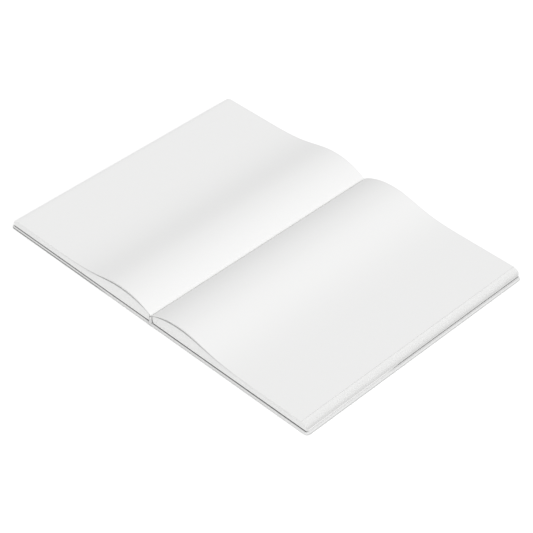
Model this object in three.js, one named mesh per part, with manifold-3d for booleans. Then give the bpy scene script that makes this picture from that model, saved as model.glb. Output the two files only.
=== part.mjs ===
// A hardcover notebook with blank leaves, lying open at its middle on a table.
// X runs across the spread, Y along the spine and Z up; the origin is on the table under the middle
// of the spine. All sizes are in millimetres.
import * as THREE from "three";
import Module from "manifold-3d";

// Leaves: folded sheets nested into signatures, which are sewn through their folds.
const LEAF_W = 142; // from a fold to the trimmed fore-edge
const LEAF_H = 210;
const PAPER_T = 0.115;
const SHEETS_PER_SIGNATURE = 4;
const SIGNATURES_PER_SIDE = 6;
const FOLD_AIR = 0.05; // air left inside a closed fold
const FOLD_NOSE = 0.28; // bevel that rounds the outside of a fold

// Back of the text block: it is slightly rounded, so the outermost folds lie furthest from the middle.
const BACK_X = 1.5; // innermost fold, from the middle of the spine
const BACK_ROUND = 0.75; // how much further out the outermost fold lies
const BACK_FLAT = 1.2; // each leaf leaves its fold level, before it starts to arch
const LEAF_START_X = 0.15; // where the top leaf starts

// Fore-edge: the arch draws the upper leaves in.
const FORE_RECESS = 4.7;
const FORE_POWER = 5;

// Arch that the leaves make beside the gutter.
const ARCH_RISE = 8.1;
const ARCH_PEAK_X = 29;
const ARCH_SWELL = 2.2; // power of the curve that climbs from the gutter
const ARCH_FALL = 28.4; // width of the bell curve that falls to the flat of the page
const ARCH_REACH = 2.2; // the fall ends this many widths past the peak
const FAN_POWER = 1.4; // lower leaves arch less
const OPEN_RISE = 1.3; // the highest signature stands open: leaves below its fold arch this much less
const RISE_STEPS = 8;
const FALL_STEPS = 11;

// Case: a board in each cover, and one covering turned in over its edges. The covers stand out past
// the leaves on three sides.
const SQUARE_FORE = 2.1;
const SQUARE_HEAD = 1.2;
const COVER_INNER_X = 1; // where a cover ends and the soft spine starts
const CORNER_R = 3;
const CORNER_STEPS = 6;
const EDGE_FLAT = 0.1; // upright part of a cover's edge, between its rounded halves
const EDGE_STEPS = 4;
const WRAP_T = 0.25;
const BOARD_T = 1.5;
const BOARD_INNER_GAP = 0.3; // from the cover's inner end to its board
const TURN_IN = 15;

// Endpaper: one folded sheet, pasted to the board and free as the flyleaf.
// Both are trimmed with the leaves.
const PASTE_T = 0.15; // shown over the turn-ins; paste and paper level the rest
const FLYLEAF_T = 0.15;
const FLYLEAF_AIR = 0.6; // the leaves stand off the cover, which leaves a dark line round them
const SLIP = 0.1; // clearance round an inlaid edge

// Mull: the open cloth that joins the back of the leaves to the boards.
const MULL_T = 0.2;
const MULL_END_GAP = 1.2; // from its ends to the turn-ins at head and tail
const FLANGE_W = 24;
const MULL_BELOW = 0.11; // from its top to the underside of the top leaf
const MULL_OFF_FOLD = 0.55; // clear of the thread that runs over the folds

// Soft spine of the covering, pinched up between the covers while the book is open.
const LOOP_T = 0.5; // lined with card
const LOOP_HALF = 0.4; // middle of its leg, from the middle of the spine
const LOOP_BELOW = 0.71; // from its top to the underside of the top leaf
const LOOP_ARC_STEPS = 6;

// Sewing thread.
const THREAD_T = 0.24;
const THREAD_AIR = 0.12; // between the thread and the folds that it crosses
const STITCHES = 5;
const POCKET_H = 0.44; // room for the thread inside a fold
const POCKET_W = 0.5;

// Sizes and levels that follow from those above.
const coverTop = WRAP_T + BOARD_T + WRAP_T;
const boardTop = WRAP_T + BOARD_T;
const pasteTop = coverTop + PASTE_T;
const blockZ = pasteTop + FLYLEAF_AIR + FLYLEAF_T;
const signatureT = 2 * SHEETS_PER_SIGNATURE * PAPER_T;
const blockT = SIGNATURES_PER_SIDE * signatureT;
const foldWall = SHEETS_PER_SIGNATURE * PAPER_T;
const foreEdgeX = BACK_X + BACK_ROUND + LEAF_W;
const coverX = foreEdgeX + SQUARE_FORE;
const coverH = LEAF_H + 2 * SQUARE_HEAD;
const mullH = coverH - 2 * TURN_IN - 2 * MULL_END_GAP;
const stitchGap = LEAF_H / STITCHES;
const boardInnerX = COVER_INNER_X + BOARD_INNER_GAP;
const edgeRound = (coverTop - EDGE_FLAT) / 2;
const archEndX = ARCH_PEAK_X + ARCH_REACH * ARCH_FALL;

const materials = {
  wrap: { color: 0xdadad9, roughness: 0.6 },
  board: { color: 0xaaa396, roughness: 0.95 },
  endpaper: { color: 0xb4b4b3, roughness: 0.85 },
  paper: { color: 0xf8f8f6, roughness: 0.85 },
  mull: { color: 0xe6dfcc, roughness: 0.95 },
  thread: { color: 0xf5f2ea, roughness: 0.8 },
};

const part = new THREE.Group();
part.name = "notebook";

function add(name, geometry, kind) {
  const material = new THREE.MeshStandardMaterial({ ...materials[kind], metalness: 0 });
  const mesh = new THREE.Mesh(geometry, material);
  mesh.name = name;
  part.add(mesh);
}

const wasm = await Module();
wasm.setup();
const { Manifold, CrossSection } = wasm;

// Every solid below is drawn for the right half; side is 1 there and -1 for its mirror image.
function toGeometry(solid, side) {
  const mesh = (side < 0 ? solid.mirror([1, 0, 0]) : solid).getMesh();
  const geometry = new THREE.BufferGeometry();
  geometry.setAttribute("position", new THREE.BufferAttribute(mesh.vertProperties, mesh.numProp));
  geometry.setIndex(new THREE.BufferAttribute(mesh.triVerts, 1));
  return geometry;
}

function box(x0, x1, halfY, z0, z1) {
  return Manifold.cube([x1 - x0, 2 * halfY, z1 - z0]).translate([x0, -halfY, z0]);
}

// A profile in X and Z drawn out along Y, centred on the spine's length.
function alongSpine(profile, length) {
  const section = new CrossSection([profile], "EvenOdd");
  return section.extrude(length).rotate([90, 0, 0]).translate([0, length / 2, 0]);
}

// Share of the arch's height at x, for a leaf whose arch starts at startX.
function archShare(x, startX) {
  if (x <= startX || x >= archEndX) return 0;
  if (x <= ARCH_PEAK_X) {
    return 1 - ((ARCH_PEAK_X - x) / (ARCH_PEAK_X - startX)) ** ARCH_SWELL;
  }
  const bell = (u) => Math.exp(-u * u);
  const foot = bell(ARCH_REACH);
  return (bell((x - ARCH_PEAK_X) / ARCH_FALL) - foot) / (1 - foot);
}

// A level of the block is 0 under its lowest leaf and 1 over its highest signature.
const foldX = (level) => BACK_X + BACK_ROUND * (1 - level) ** 2;
const foreX = (level) => foreEdgeX - FORE_RECESS * level ** FORE_POWER;
const flatZ = (level) => blockZ + level * blockT;
const riseOf = (level, raised) => (ARCH_RISE - (raised ? 0 : OPEN_RISE)) * level ** FAN_POWER;

// The X stations are common to all levels, so that neighbours share each facet where they touch.
const riseStart = foldX(0) + 2 * BACK_FLAT;
const stations = [];
for (let k = 0; k < RISE_STEPS; k++) {
  stations.push(riseStart + ((ARCH_PEAK_X - riseStart) * k) / RISE_STEPS);
}
for (let k = 0; k <= FALL_STEPS; k++) {
  stations.push(ARCH_PEAK_X + ((archEndX - ARCH_PEAK_X) * k) / FALL_STEPS);
}

// Height of one level at x, and the same level as points from near its fold out to its fore-edge.
// Only the leaves above the opened fold are raised.
const levelZ = (level, x, raised) =>
  flatZ(level) + riseOf(level, raised) * archShare(x, foldX(level) + BACK_FLAT);

function levelCurve(level, fromX, lift = 0, raised = false) {
  const xs = [fromX, foldX(level) + BACK_FLAT, ...stations, foreX(level)];
  return xs.map((x) => [x, levelZ(level, x, raised) + lift]);
}

// A signature: nested sheets, folded at the back, with a slit between their two sets of leaves.
function signature(index) {
  const low = index / SIGNATURES_PER_SIDE;
  const high = (index + 1) / SIGNATURES_PER_SIDE;
  const mid = (low + high) / 2;
  const raised = index === SIGNATURES_PER_SIDE - 1;
  const nose = foldX(mid);
  const pocketX = nose + foldWall;
  const slitX = pocketX + POCKET_W;
  const profile = [
    ...levelCurve(low, foldX(low) + FOLD_NOSE),
    ...levelCurve(mid, slitX, -FOLD_AIR / 2).reverse(),
    [slitX, flatZ(mid) - POCKET_H / 2],
    [pocketX, flatZ(mid) - POCKET_H / 2],
    [pocketX, flatZ(mid) + POCKET_H / 2],
    [slitX, flatZ(mid) + POCKET_H / 2],
    ...levelCurve(mid, slitX, FOLD_AIR / 2, raised),
    ...levelCurve(high, foldX(high) + FOLD_NOSE, 0, raised).reverse(),
    [nose, flatZ(high) - FOLD_NOSE],
    [nose, flatZ(low) + FOLD_NOSE],
  ];
  const holes = stitchPlaces().map((y) =>
    Manifold.cube([pocketX - nose + 2 * SLIP, POCKET_H, POCKET_H], true).translate([
      (pocketX + nose) / 2,
      y,
      flatZ(mid),
    ])
  );
  return alongSpine(profile, LEAF_H).subtract(Manifold.union(holes));
}

function stitchPlaces() {
  return Array.from({ length: STITCHES }, (_, k) => (k - (STITCHES - 1) / 2) * stitchGap);
}

// The thread runs inside each fold, comes out at every stitch and links to the next signature.
function thread() {
  const reach = ((STITCHES - 1) / 2) * stitchGap + THREAD_T / 2;
  const pieces = [];
  const bead = (x, y, z) => Manifold.cube([THREAD_T, THREAD_T, THREAD_T], true).translate([x, y, z]);
  for (let index = 0; index < SIGNATURES_PER_SIDE; index++) {
    const mid = (index + 0.5) / SIGNATURES_PER_SIDE;
    const next = mid + 1 / SIGNATURES_PER_SIDE;
    const insideX = foldX(mid) + foldWall + POCKET_W / 2;
    const outsideX = (level) => foldX(level) - THREAD_AIR - THREAD_T / 2;
    const z = flatZ(mid);
    pieces.push(
      box(insideX - THREAD_T / 2, insideX + THREAD_T / 2, reach, z - THREAD_T / 2, z + THREAD_T / 2)
    );
    for (const y of stitchPlaces()) {
      pieces.push(Manifold.hull([bead(insideX, y, z), bead(outsideX(mid), y, z)]));
      if (next < 1) {
        pieces.push(Manifold.hull([bead(outsideX(mid), y, z), bead(outsideX(next), y, flatZ(next))]));
      }
    }
  }
  return Manifold.union(pieces);
}

// The leaf that lies on top: it starts in the gutter and follows the signature under it past the peak.
function topLeaf() {
  const xs = [LEAF_START_X, foldX(1), foldX(1) + 2 * BACK_FLAT, ...stations];
  const under = xs.map((x) => [x, flatZ(1) + ARCH_RISE * archShare(x, LEAF_START_X)]);
  under.push([foreX(1), flatZ(1)]);
  const over = under.map(([x, z]) => [x, z + PAPER_T]);
  return alongSpine([...under, ...over.reverse()], LEAF_H);
}

// The outline of a cover or its board, with its two outer corners rounded.
function coverOutline(innerX, inset) {
  const outerX = coverX - inset;
  const halfY = coverH / 2 - inset;
  const points = [[innerX, halfY], [innerX, -halfY]];
  for (const end of [-1, 1]) {
    for (let k = 0; k <= CORNER_STEPS; k++) {
      const turn = ((end < 0 ? k - CORNER_STEPS : k) * Math.PI) / 2 / CORNER_STEPS;
      points.push([
        outerX - (CORNER_R - inset) * (1 - Math.cos(turn)),
        end * (halfY - CORNER_R + inset) + (CORNER_R - inset) * Math.sin(turn),
      ]);
    }
  }
  return new CrossSection([points], "EvenOdd");
}

// A slab with its three outer edges rounded, which lies the same distance inside the cover all round.
function slab(innerX, inside) {
  const radius = edgeRound - inside;
  const slices = Array.from({ length: EDGE_STEPS + 1 }, (_, k) => {
    const turn = (k * Math.PI) / 2 / EDGE_STEPS;
    const z = inside + radius * (1 - Math.cos(turn));
    const inset = inside + radius * (1 - Math.sin(turn));
    return coverOutline(innerX, inset).extrude(coverTop - 2 * z).translate([0, 0, z]);
  });
  return Manifold.hull(slices);
}

const board = () => slab(boardInnerX, WRAP_T);

function coverWrap() {
  const innerX = COVER_INNER_X - SLIP;
  const window = box(
    innerX, coverX - TURN_IN, coverH / 2 - TURN_IN, boardTop - SLIP, coverTop + SLIP
  );
  return slab(COVER_INNER_X, 0).subtract(slab(innerX, WRAP_T)).subtract(window);
}

// The foot of the mull stands on its flange, just inside the fold of the endpaper.
const mullX = (level) => foldX(level) - MULL_OFF_FOLD - MULL_T;
const flangeX = mullX(0) - MULL_T;
const flangeTop = boardTop + MULL_T;

function endpaper() {
  const innerX = foldX(0) - MULL_OFF_FOLD + SLIP;
  const levelHalfY = coverH / 2 - TURN_IN - SLIP;
  const levelOuterX = coverX - TURN_IN - SLIP;
  const flyleaf = box(innerX, foreEdgeX, LEAF_H / 2, pasteTop + FLYLEAF_AIR, blockZ);
  const fold = box(innerX, innerX + FLYLEAF_T, LEAF_H / 2, coverTop, blockZ);
  const pasted = box(innerX, foreEdgeX, LEAF_H / 2, coverTop, pasteTop);
  const besideMull = box(innerX, levelOuterX, levelHalfY, flangeTop, pasteTop);
  const onBoard = box(flangeX + FLANGE_W + SLIP, levelOuterX, levelHalfY, boardTop, pasteTop);
  return Manifold.union([flyleaf, fold, pasted, besideMull, onBoard]);
}

const mullFlange = () => box(flangeX, flangeX + FLANGE_W, mullH / 2, boardTop, flangeTop);

// A strip bent into an arch over the middle of the spine, from points along its right leg upwards.
function strip(leg, thickness, length) {
  const inner = leg.map(([x, z]) => [x - thickness, z]);
  const lower = inner.map(([x, z], k) => [x, k === inner.length - 1 ? z - thickness : z]);
  const mirror = (points) => points.map(([x, z]) => [-x, z]).reverse();
  return alongSpine([...leg, ...mirror(leg), ...mirror(lower).reverse(), ...lower.reverse()], length);
}

function mullSpine() {
  const leg = [[mullX(0) + MULL_T, flangeTop]];
  for (let k = 0; k < SIGNATURES_PER_SIDE; k++) {
    const level = k / SIGNATURES_PER_SIDE;
    leg.push([mullX(level) + MULL_T, flatZ(level)]);
  }
  const shoulder = mullX(1) + MULL_T;
  const top = flatZ(1) - MULL_BELOW;
  leg.push([shoulder, top - shoulder / 2], [shoulder / 2, top]);
  return strip(leg, MULL_T, mullH);
}

// The pinched spine: a foot level with each cover's face, a leg beside the middle, and a round top.
function loopSpine() {
  const outerR = LOOP_HALF + LOOP_T / 2;
  const innerR = LOOP_HALF - LOOP_T / 2;
  const arcZ = flatZ(1) - LOOP_BELOW - outerR;
  const arc = (radius, steps) =>
    Array.from({ length: steps + 1 }, (_, k) => {
      const turn = (k * Math.PI) / steps;
      return [radius * Math.cos(turn), arcZ + radius * Math.sin(turn)];
    });
  const profile = [
    [innerR, 0], [COVER_INNER_X, 0], [COVER_INNER_X, WRAP_T], [outerR, WRAP_T],
    ...arc(outerR, LOOP_ARC_STEPS),
    [-outerR, WRAP_T], [-COVER_INNER_X, WRAP_T], [-COVER_INNER_X, 0], [-innerR, 0],
    ...arc(innerR, LOOP_ARC_STEPS).reverse(),
  ];
  return alongSpine(profile, coverH);
}

for (const [hand, side] of [["left", -1], ["right", 1]]) {
  add(`cover_wrap_${hand}`, toGeometry(coverWrap(), side), "wrap");
  add(`cover_board_${hand}`, toGeometry(board(), side), "board");
  add(`mull_flange_${hand}`, toGeometry(mullFlange(), side), "mull");
  add(`endpaper_${hand}`, toGeometry(endpaper(), side), "endpaper");
  for (let index = 0; index < SIGNATURES_PER_SIDE; index++) {
    add(`signature_${hand}_${index + 1}`, toGeometry(signature(index), side), "paper");
  }
  add(`thread_${hand}`, toGeometry(thread(), side), "thread");
  add(`top_leaf_${hand}`, toGeometry(topLeaf(), side), "paper");
}
add("cover_wrap_spine", toGeometry(loopSpine(), 1), "wrap");
add("mull_spine", toGeometry(mullSpine(), 1), "mull");

export default part;
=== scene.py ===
"""A blank hardcover notebook lying open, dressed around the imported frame.

X runs across the spread, Y along the spine towards the head, Z up from the table; metres.
"""

import math

import bpy
from mathutils import Matrix, Vector


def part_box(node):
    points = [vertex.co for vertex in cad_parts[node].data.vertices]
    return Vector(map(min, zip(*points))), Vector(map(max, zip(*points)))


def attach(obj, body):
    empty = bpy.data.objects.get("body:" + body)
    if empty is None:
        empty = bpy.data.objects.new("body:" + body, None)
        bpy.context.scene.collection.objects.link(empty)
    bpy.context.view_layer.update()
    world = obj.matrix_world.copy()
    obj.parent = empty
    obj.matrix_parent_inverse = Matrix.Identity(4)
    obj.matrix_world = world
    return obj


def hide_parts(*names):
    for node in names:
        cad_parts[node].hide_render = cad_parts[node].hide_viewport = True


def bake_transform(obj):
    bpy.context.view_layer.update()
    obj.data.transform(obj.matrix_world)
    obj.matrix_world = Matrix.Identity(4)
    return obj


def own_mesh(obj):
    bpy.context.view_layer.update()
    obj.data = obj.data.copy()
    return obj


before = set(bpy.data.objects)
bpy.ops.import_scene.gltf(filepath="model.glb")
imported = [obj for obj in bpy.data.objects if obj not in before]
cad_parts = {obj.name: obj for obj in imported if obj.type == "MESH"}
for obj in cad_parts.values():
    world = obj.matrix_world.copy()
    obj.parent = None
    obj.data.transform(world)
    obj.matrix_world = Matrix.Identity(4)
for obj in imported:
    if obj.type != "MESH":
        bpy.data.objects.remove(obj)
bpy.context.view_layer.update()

MM = 0.001
HANDS = {"left": -1, "right": 1}  # the halves, and their side of the spine along X

# Boxes that the frame gives. Those of the right half stand for both.
block_low, block_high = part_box("signature_right_1")
page_low, page_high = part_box("top_leaf_right")
cover_low, cover_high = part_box("cover_wrap_right")
mull_low, mull_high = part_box("mull_spine")
BLOCK_Z = block_low.z
TOP_Z = page_low.z
BLOCK_T = TOP_Z - BLOCK_Z

# Leaves, counted from the cover upwards, from 0. Those of the two highest signatures are drawn one
# by one, and the rest in packs.
SIGNATURES = 6
LEAVES_EACH = 8
LEAVES = SIGNATURES * LEAVES_EACH
LEAF_H = page_high.y - page_low.y
LEAF_T = BLOCK_T / LEAVES
SINGLE_FROM = LEAVES - 2 * LEAVES_EACH
PACKS = {"left": 4, "right": 2}  # leaves in a pack
OPEN_AT = LEAVES - LEAVES_EACH // 2  # the highest signature stands open under this leaf
IN_SLIT = (OPEN_AT - 1, OPEN_AT)
AIR = 0.03  # share of a thickness that is left as a line of shadow
EDGE_UNEVEN = 0.12 * MM  # how far a leaf may stop short at head and tail
EDGE_TONES = 0.03  # how much darker than the palest the cut edge of a leaf may be
SLIT_SHADE = 0.78  # painted shade on the two leaves that face each other in the open fold
GOLDEN = 0.618034  # steps of the golden ratio fall evenly between 0 and 1
UNEVEN_FROM = {"left": 0, "right": 3}  # so that the halves differ

# Back and fore-edge of the block.
BACK_X = 1.5 * MM  # innermost fold
BACK_ROUND = 0.75 * MM  # how much further out the outermost fold lies
LEAF_START_X = page_low.x
FORE_X = block_high.x
FORE_RECESS = FORE_X - page_high.x
FORE_POWER = 5

# Arch beside the gutter. Only the leaves over the open fold arch by the full rise.
ARCH_RISE = page_high.z - TOP_Z - LEAF_T
OPEN_RISE = 1.3 * MM
ARCH_PEAK_X = 29 * MM
ARCH_SWELL = 2.2  # power of the curve that climbs from the gutter
ARCH_FALL = 28.4 * MM  # width of the bell curve that falls to the flat of the page
ARCH_REACH = 2.2  # the fall ends this many widths past the peak
ARCH_END_X = ARCH_PEAK_X + ARCH_REACH * ARCH_FALL
FAN_POWER = 1.4  # lower leaves arch less

# Crease of the uppermost leaves beside the gutter.
CREASE_X = 2.6 * MM
CREASE_Z = 0.8 * MM

# Near the front, the lower leaves of the right half hang down on their cover at the fore-edge:
# all the way between the first two places along it, and not at all at its near end or from the
# third place on.
HANG_YS = [-102.5 * MM, -30 * MM, -16 * MM]
HANG_Z = 0.7 * MM
HANG_OUT = 0.1 * MM  # how far out they slip there
HANG_W = 40 * MM  # how far in from the fore-edge it starts
HANG_FILL = 1.17  # times the thickness of leaves that hang, as they stand further apart there

# Steps across a leaf.
RISE_STEP = 0.5 * MM
FALL_STEP = 1.2 * MM
FLAT_STEP = 12 * MM
LEAST_STEP = 0.001 * MM  # anything shorter is a rounding error

# Soft spine between the covers, and the mull inside it.
COVER_H = cover_high.y - cover_low.y
COVER_INNER_X = cover_low.x
LOOP_T = 0.5 * MM
LOOP_HALF = 0.4 * MM  # middle of its leg, from the middle of the spine
LOOP_BELOW = 1.06 * MM  # from its top to the underside of the page
LOOP_ARC_STEPS = 6
MULL_T = 0.2 * MM
MULL_H = mull_high.y - mull_low.y
MULL_OFF_FOLD = 0.55 * MM
MULL_BELOW = 0.85 * MM  # from its top to the underside of the page
MULL_FOOT_Z = mull_low.z
STRIP_STEP = 0.4 * MM

# Tones along a line are three: up to the first place, from the second to the third, and from the
# fourth on. These are painted shade, on the covers' rim along the spread and on the cut leaves up
# the fore-edge.
RIM_XS = [-55 * MM, -40 * MM, 100 * MM, 130 * MM]
RIM_SHADES = [0.24, 0.78, 0.95]
RIM_RIGHT_SHADE = 0.7  # painted shade, times those, where the rim faces the right
FORE_ZS = [2.98 * MM, 3.3 * MM, 5 * MM, 8.3 * MM]
FORE_SHADES = [1, 0.73, 0.88]
PAGE_ZS = [TOP_Z, TOP_Z + 0.02 * MM]
PAGE_EDGE_SHADE = 0.3  # painted shadow line at the page's own edge there
ENDPAPER_CUT_COLOR = (0.6, 0.6, 0.597)  # its colour where it is cut at the fore-edge, where its painted shade is lighter

# A normal's part along an axis where a face begins to count as turned that way, and where it does.
TURNED = (0.5, 0.9)
LEVEL = (0.25, 0.8)  # for the flat of a cover, beside its rounded rim

# Finish that the materials of the book share.
SPECULAR = 0.25
GRAIN_DETAIL = 3
RELIEF_DEPTH = 0.05 * MM

# Floor, just under the covers, and light. The key is a wide soft one from the right.
FLOOR_SIZE = 8
FLOOR_DROP = 0.2 * MM
FLOOR_COLOR = (0.95, 0.95, 0.95, 1)
FLOOR_GLOW = 0.2
WHITE = (1, 1, 1, 1)
WORLD_LIGHT = 0.685
KEY = Vector((0.29, -0.13, 0.30))  # direction towards it; its length is what it adds face on
KEY_ANGLE = math.radians(50)

# Camera, solved from the outline of the open book.
CAMERA_AZIMUTH = math.radians(44.95)  # from the tail towards the right
CAMERA_ELEVATION = math.radians(40.69)
CAMERA_DISTANCE = 1.2893
CAMERA_TARGET = Vector((6.44, -2.21, -7.11)) * MM
LENS, SENSOR_W = 124.42, 36  # in millimetres, as Blender takes them


# Nodes of materials

def added(tree, kind, inputs, **settings):
    """A new node with settings. Each of its inputs gets a link from an output, or else a value."""
    node = tree.nodes.new(kind)
    for name, value in settings.items():
        setattr(node, name, value)
    for name, value in inputs.items():
        if isinstance(value, bpy.types.NodeSocket):
            tree.links.new(value, node.inputs[name])
        else:
            node.inputs[name].default_value = value
    return node


def worked_out(tree, operation, *values):
    return added(tree, "ShaderNodeMath", dict(enumerate(values)), operation=operation).outputs[0]


def ranged(tree, value, start, end, first, last):
    """First up to start, last from end on, and a ramp between them."""
    inputs = {"Value": value, "From Min": start, "From Max": end, "To Min": first, "To Max": last}
    return added(tree, "ShaderNodeMapRange", inputs).outputs[0]


def banded(tree, value, places, tones):
    """Three tones along a line, with ramps between them."""
    first, middle, last = tones
    lower = ranged(tree, value, *places[:2], first, middle)
    upper = ranged(tree, value, *places[2:], 1, last / middle)
    return worked_out(tree, "MULTIPLY", lower, upper)


def along(tree, output, axis):
    """One axis of a place or a normal in the object's own space."""
    place = tree.nodes.new("ShaderNodeTexCoord")
    return added(tree, "ShaderNodeSeparateXYZ", {0: place.outputs[output]}).outputs[axis]


def facing(tree, axis):
    """A normal's part along an axis, whichever way."""
    return worked_out(tree, "ABSOLUTE", along(tree, "Normal", axis))


def toned(tree, color, tone, toward=(0, 0, 0)):
    """A colour with black, or another colour, in its place by what a tone leaves short of 1."""
    inputs = {"Factor": tone, "A": (*toward, 1), "B": color}
    return added(tree, "ShaderNodeMix", inputs, data_type="RGBA").outputs["Result"]


def leaf_edges(tree, color):
    """Each sheet has its own tone, with painted shade on the two leaves in the open fold, and
    painted shade darkens the fanned fore-edge and a line at the page's own edge.
    """
    own = added(tree, "ShaderNodeAttribute", {}, attribute_name="tone")
    height = along(tree, "Object", "Z")
    page_edge = ranged(tree, height, *PAGE_ZS, 1, PAGE_EDGE_SHADE / FORE_SHADES[-1])
    tone = worked_out(tree, "MULTIPLY", banded(tree, height, FORE_ZS, FORE_SHADES), page_edge)
    fore = ranged(tree, facing(tree, "X"), *TURNED, 1, tone)
    return toned(tree, toned(tree, color, own.outputs["Fac"]), fore)


def lighter_where_cut(tree, color):
    """The endpaper's painted shade is lighter where it is cut at the fore-edge."""
    face = ranged(tree, facing(tree, "X"), *TURNED, 1, 0)
    return toned(tree, color, face, ENDPAPER_CUT_COLOR)


def rim_painted_shade(tree, color):
    """Painted shade on the covers' rim, darker than their faces, most of all at the left of the
    spread.
    """
    tone = banded(tree, along(tree, "Object", "X"), RIM_XS, RIM_SHADES)
    right = ranged(tree, along(tree, "Normal", "X"), *TURNED, 1, RIM_RIGHT_SHADE)
    rim = worked_out(tree, "MULTIPLY", tone, right)
    return toned(tree, color, ranged(tree, facing(tree, "Z"), *LEVEL, rim, 1))


# Materials

def matte(name, roughness, specular=SPECULAR):
    material = bpy.data.materials.new(name)
    material.use_nodes = True
    shader = material.node_tree.nodes["Principled BSDF"]
    shader.inputs["Roughness"].default_value = roughness
    shader.inputs["Specular IOR Level"].default_value = specular
    return material, shader


def grained(name, color, roughness, grain, scale, relief, shading=None):
    """Fine noise varies the colour by the share in grain, and is the surface's relief."""
    material, shader = matte(name, roughness)
    tree = material.node_tree
    place = tree.nodes.new("ShaderNodeTexCoord").outputs["Object"]
    inputs = {"Vector": place, "Scale": scale, "Detail": GRAIN_DETAIL}
    noise = added(tree, "ShaderNodeTexNoise", inputs).outputs["Fac"]
    ramp = added(tree, "ShaderNodeValToRGB", {"Fac": noise})
    dark, pale = ramp.color_ramp.elements
    dark.color = [c * (1 - grain) for c in color] + [1]
    pale.color = [min(1, c * (1 + grain)) for c in color] + [1]
    shown = ramp.outputs["Color"]
    if shading:
        shown = shading(tree, shown)
    tree.links.new(shown, shader.inputs["Base Color"])
    inputs = {"Strength": relief, "Distance": RELIEF_DEPTH, "Height": noise}
    bump = added(tree, "ShaderNodeBump", inputs)
    tree.links.new(bump.outputs["Normal"], shader.inputs["Normal"])
    return material


COVERING = dict(color=(0.76, 0.76, 0.758), roughness=0.65, grain=0.012, scale=700, relief=0.2)
WRAP = grained("wrap", **COVERING, shading=rim_painted_shade)
SPINE_WRAP = grained("spine_wrap", **COVERING)
PAPER = grained("paper", (0.86, 0.86, 0.857), roughness=0.9, grain=0.006, scale=900, relief=0.15)
EDGES = grained(
    "paper_edges", (0.88, 0.88, 0.875),
    roughness=0.95, grain=0.01, scale=1500, relief=0.15, shading=leaf_edges,
)
# The endpaper is painted dark, as the shade in the gap between the leaves and the cover.
ENDPAPER = grained(
    "endpaper", (0.158, 0.158, 0.156),
    roughness=0.9, grain=0.02, scale=900, relief=0.1, shading=lighter_where_cut,
)
BOARD = grained("board", (0.36, 0.33, 0.28), roughness=0.95, grain=0.08, scale=1500, relief=0.3)
MULL = grained("mull", (0.75, 0.71, 0.6), roughness=0.95, grain=0.06, scale=2500, relief=0.4)
THREAD = grained("thread", (0.85, 0.83, 0.78), roughness=0.8, grain=0.04, scale=3000, relief=0.2)


# Sheets

def sheet_mesh(name, sheets, materials):
    """One mesh of sheets, each given as rows of points."""
    vertices, faces = [], []
    for rows in sheets:
        n = len(rows[0])
        for row in rows[:-1]:
            base = len(vertices)
            vertices += row
            faces += [(k, k + 1, k + 1 + n, k + n) for k in range(base, base + n - 1)]
        vertices += rows[-1]
    mesh = bpy.data.meshes.new(name)
    mesh.from_pydata(vertices, [], faces)
    mesh.update()
    for material in materials:
        mesh.materials.append(material)
    obj = bpy.data.objects.new(name, mesh)
    bpy.context.collection.objects.link(obj)
    return obj


def thicken(obj, thickness, offset, rim=0):
    """The sheets get their thickness here, so that they keep it while the book is being closed."""
    solidify = obj.modifiers.new("thickness", "SOLIDIFY")
    solidify.thickness = thickness
    solidify.offset = offset
    solidify.use_even_offset = True
    solidify.material_offset_rim = rim


# Leaves

def arch_share(x):
    """Share of the arch's height at x."""
    if x <= LEAF_START_X or x >= ARCH_END_X:
        return 0.0
    if x <= ARCH_PEAK_X:
        return 1 - ((ARCH_PEAK_X - x) / (ARCH_PEAK_X - LEAF_START_X)) ** ARCH_SWELL
    foot = math.exp(-(ARCH_REACH**2))
    bell = math.exp(-(((x - ARCH_PEAK_X) / ARCH_FALL) ** 2))
    return (bell - foot) / (1 - foot)


def crease(x):
    return CREASE_Z * max(0, 1 - x / CREASE_X) ** 2


def fold_x(level):
    """Where the folds are at a level of the block: 0 is at the cover, and 1 under the page."""
    return BACK_X + BACK_ROUND * (1 - level) ** 2


def fore_x(level):
    return FORE_X - FORE_RECESS * level**FORE_POWER


def stations(from_x, to_x):
    """Places across a leaf: close together where it arches, and far apart on the flat."""
    xs = [from_x]
    while xs[-1] < to_x - LEAST_STEP:
        x = xs[-1]
        step = RISE_STEP if x < ARCH_PEAK_X else FALL_STEP if x < ARCH_END_X else FLAT_STEP
        xs.append(x + step)
    return xs[:-1] + [to_x]


def hang_share(x, y):
    """How much of the way down a leaf of the right half hangs at a place."""
    across = max(0, 1 - (FORE_X - x) / HANG_W) ** 2
    down, last, up = HANG_YS
    fall, climb = (y + LEAF_H / 2) / (down + LEAF_H / 2), (up - y) / (up - last)
    return across * max(0, min(1, fall, climb))


def leaf_row(line, y, side, hang):
    """A leaf's line as points at y, from left to right."""
    row = []
    for x, z in line:
        share = hang_share(x, y) if hang else 0
        row.append((side * (x + HANG_OUT * share), y, z - hang * share))
    return row[::side]


def leaves(name, sheets, thickness, hand, hang=0, face=PAPER):
    """Leaves, each given by its underside: its line, how short it is cut, and its tones, which
    hold painted shade in the open fold.
    """
    side = HANDS[hand]
    grids, values = [], []
    for line, short, tones in sheets:
        ys = [-LEAF_H / 2 + short, *(HANG_YS if hang else []), LEAF_H / 2 - short]
        grids.append([leaf_row(line, y, side, hang) for y in ys])
        values += list(tones[::side]) * len(ys)
    obj = sheet_mesh(name, grids, [face, EDGES])
    obj.data.attributes.new("tone", "FLOAT", "POINT").data.foreach_set("value", values)
    thicken(obj, thickness, 1, rim=1)
    return obj


def uneven(number):
    """A fixed share from 0 to 1 that differs from sheet to sheet."""
    return (number * GOLDEN) % 1


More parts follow.
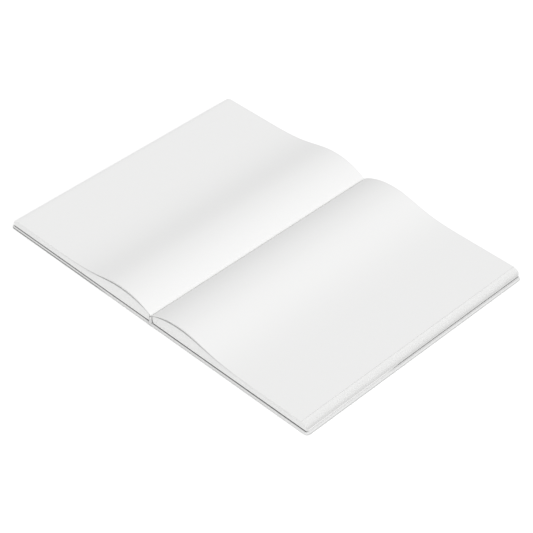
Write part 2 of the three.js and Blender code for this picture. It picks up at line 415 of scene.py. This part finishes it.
def pack_sheets(first, count, hand):
    """Leaves as one sheet out to the fore-edge, and over it those that fill the arch's room."""
    low, high = first / LEAVES, (first + count) / LEAVES
    full = ARCH_RISE - (0 if first >= OPEN_AT else OPEN_RISE)
    rise, room = full * low**FAN_POWER, full * (high**FAN_POWER - low**FAN_POWER)
    fillers = math.ceil(room / (count * LEAF_T))
    flat = BLOCK_Z + low * BLOCK_T
    creased = max(0, first + 1 - SINGLE_FROM) / (LEAVES - SINGLE_FROM)
    sheets = []
    for k in range(fillers + 1):
        xs = stations(fold_x(low), fore_x(high) if k == 0 else ARCH_END_X)
        reach = rise + room * k / fillers
        line = [(x, flat + reach * arch_share(x) - creased * crease(x)) for x in xs]
        number = UNEVEN_FROM[hand] + 2 * first + k
        # The two leaves in the open fold get painted shade as far as the arch reaches.
        if first in IN_SLIT:
            tones = [SLIT_SHADE if x < ARCH_END_X else 1 for x in xs]
        else:
            tones = [1 - EDGE_TONES * uneven(number)] * len(xs)
        sheets.append((line, EDGE_UNEVEN * uneven(3 * number), tones))
    return sheets


def block(hand):
    """The leaves of one half, without its page."""
    first = 0
    while first < LEAVES:
        count = PACKS[hand] if first < SINGLE_FROM else 1
        sheets = pack_sheets(first, count, hand)
        hang = HANG_Z * max(0, 1 - first / SINGLE_FROM) if hand == "right" else 0
        thickness = (HANG_FILL if hang else 1 - AIR) * count * LEAF_T
        # Their faces take the edges' material too, so that the painted shade in the open fold
        # shows on them.
        face = EDGES if first in IN_SLIT else PAPER
        pack = leaves(f"leaves_{hand}_{first + 1:02d}", sheets, thickness, hand, hang, face)
        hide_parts(f"signature_{hand}_{first // LEAVES_EACH + 1}")
        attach(pack, f"{hand}_half")
        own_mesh(pack)
        first += count


def top_leaf(hand):
    """The page on show."""
    xs = stations(LEAF_START_X, fore_x(1))
    line = [(x, TOP_Z + ARCH_RISE * arch_share(x) - crease(x)) for x in xs]
    page = leaves(f"page_{hand}", [(line, 0, [1] * len(line))], LEAF_T, hand)
    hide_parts(f"top_leaf_{hand}")
    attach(page, f"leaf_{hand}")
    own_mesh(page)


# Case and spine

def dress(name, material):
    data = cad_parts[name].data
    data.materials.clear()
    data.materials.append(material)


def subdivided(path):
    """The same path with points no further apart than a step."""
    fine = [path[0]]
    for (x0, z0), (x1, z1) in zip(path, path[1:]):
        count = max(1, math.ceil(math.hypot(x1 - x0, z1 - z0) / STRIP_STEP))
        for k in range(1, count + 1):
            fine.append((x0 + (x1 - x0) * k / count, z0 + (z1 - z0) * k / count))
    return fine


def loop_path():
    """Middle of the pinched spine's thickness, from a cover's inner end up to its top."""
    arc_z = TOP_Z - LOOP_BELOW - LOOP_HALF - LOOP_T / 2
    path = [(COVER_INNER_X, LOOP_T / 2), (LOOP_HALF, LOOP_T / 2), (LOOP_HALF, arc_z)]
    for k in range(1, LOOP_ARC_STEPS + 1):
        turn = k / LOOP_ARC_STEPS * math.pi / 2
        path.append((LOOP_HALF * math.cos(turn), arc_z + LOOP_HALF * math.sin(turn)))
    return path


def mull_path():
    """Middle of the mull's thickness, from its foot on the flange up to the middle of its top."""
    off = MULL_OFF_FOLD + MULL_T / 2
    path = [(fold_x(0) - off, MULL_FOOT_Z)]
    for k in range(SIGNATURES - 1):
        level = k / SIGNATURES
        path.append((fold_x(level) - off, BLOCK_Z + level * BLOCK_T))
    shoulder = fold_x(1) - off
    top = TOP_Z - MULL_BELOW - MULL_T / 2
    return path + [(shoulder, top - shoulder / 2), (shoulder / 2, top), (0, top)]


def legs(name, path, thickness, length, material, node):
    """Both halves of a soft strip over the spine, each from its cover up to the middle."""
    for hand, side in HANDS.items():
        rows = [[(side * x, y, z) for x, z in subdivided(path)] for y in (-length / 2, length / 2)]
        leg = sheet_mesh(f"{name}_{hand}", [rows], [material])
        thicken(leg, thickness, 0)
        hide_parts(node)
        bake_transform(leg)


# Floor, light and camera

def seen_by(tree, *rays):
    """1 for the two kinds of ray named, and 0 for the rest."""
    path = tree.nodes.new("ShaderNodeLightPath")
    return worked_out(tree, "MAXIMUM", *(path.outputs[ray] for ray in rays))


def floor():
    """A pale plane, brighter where it is seen than where it lights the object."""
    bpy.ops.mesh.primitive_plane_add(size=FLOOR_SIZE, location=(0, 0, -FLOOR_DROP))
    obj = bpy.context.object
    obj.name = "floor"
    material, shader = matte("floor", roughness=1, specular=0)
    shader.inputs["Base Color"].default_value = FLOOR_COLOR
    tree = material.node_tree
    lit = shader.outputs[0]
    glow = added(tree, "ShaderNodeEmission", {"Strength": FLOOR_GLOW}).outputs[0]
    both = added(tree, "ShaderNodeAddShader", {0: lit, 1: glow}).outputs[0]
    shown = seen_by(tree, "Is Camera Ray", "Is Glossy Ray")
    mix = added(tree, "ShaderNodeMixShader", {"Fac": shown, 1: lit, 2: both})
    tree.links.new(mix.outputs[0], tree.nodes["Material Output"].inputs["Surface"])
    obj.data.materials.append(material)


def sky():
    """A white world, which lights the object less than it shows."""
    world = bpy.data.worlds.new("studio")
    bpy.context.scene.world = world
    world.use_nodes = True
    tree = world.node_tree
    shown = seen_by(tree, "Is Camera Ray", "Is Transmission Ray")
    background = tree.nodes["Background"]
    background.inputs["Color"].default_value = WHITE
    tree.links.new(ranged(tree, shown, 0, 1, WORLD_LIGHT, 1), background.inputs["Strength"])


def key_light():
    light = bpy.data.lights.new("key", "SUN")
    light.energy = KEY.length * math.pi
    light.angle = KEY_ANGLE
    obj = bpy.data.objects.new("key", light)
    obj.rotation_euler = KEY.to_track_quat("Z", "Y").to_euler()
    bpy.context.collection.objects.link(obj)


def camera():
    sin_a, cos_a = math.sin(CAMERA_AZIMUTH), math.cos(CAMERA_AZIMUTH)
    sin_e, cos_e = math.sin(CAMERA_ELEVATION), math.cos(CAMERA_ELEVATION)
    right = Vector((cos_a, sin_a, 0))
    back = Vector((sin_a * cos_e, -cos_a * cos_e, sin_e))
    turned = Matrix((right, back.cross(right), back)).transposed().to_4x4()
    data = bpy.data.cameras.new("camera")
    data.lens = LENS
    data.sensor_width = SENSOR_W
    obj = bpy.data.objects.new("camera", data)
    bpy.context.collection.objects.link(obj)
    obj.matrix_world = Matrix.Translation(CAMERA_TARGET + CAMERA_DISTANCE * back) @ turned
    bpy.context.scene.camera = obj


for hand in HANDS:
    block(hand)
    top_leaf(hand)
    dress(f"cover_wrap_{hand}", WRAP)
    dress(f"cover_board_{hand}", BOARD)
    dress(f"mull_flange_{hand}", MULL)
    dress(f"endpaper_{hand}", ENDPAPER)
    dress(f"thread_{hand}", THREAD)
legs("spine_leg", loop_path(), LOOP_T, COVER_H, SPINE_WRAP, "cover_wrap_spine")
legs("mull_leg", mull_path(), MULL_T, MULL_H, MULL, "mull_spine")
floor()
sky()
key_light()
camera()
bpy.context.scene.view_settings.view_transform = "Standard"
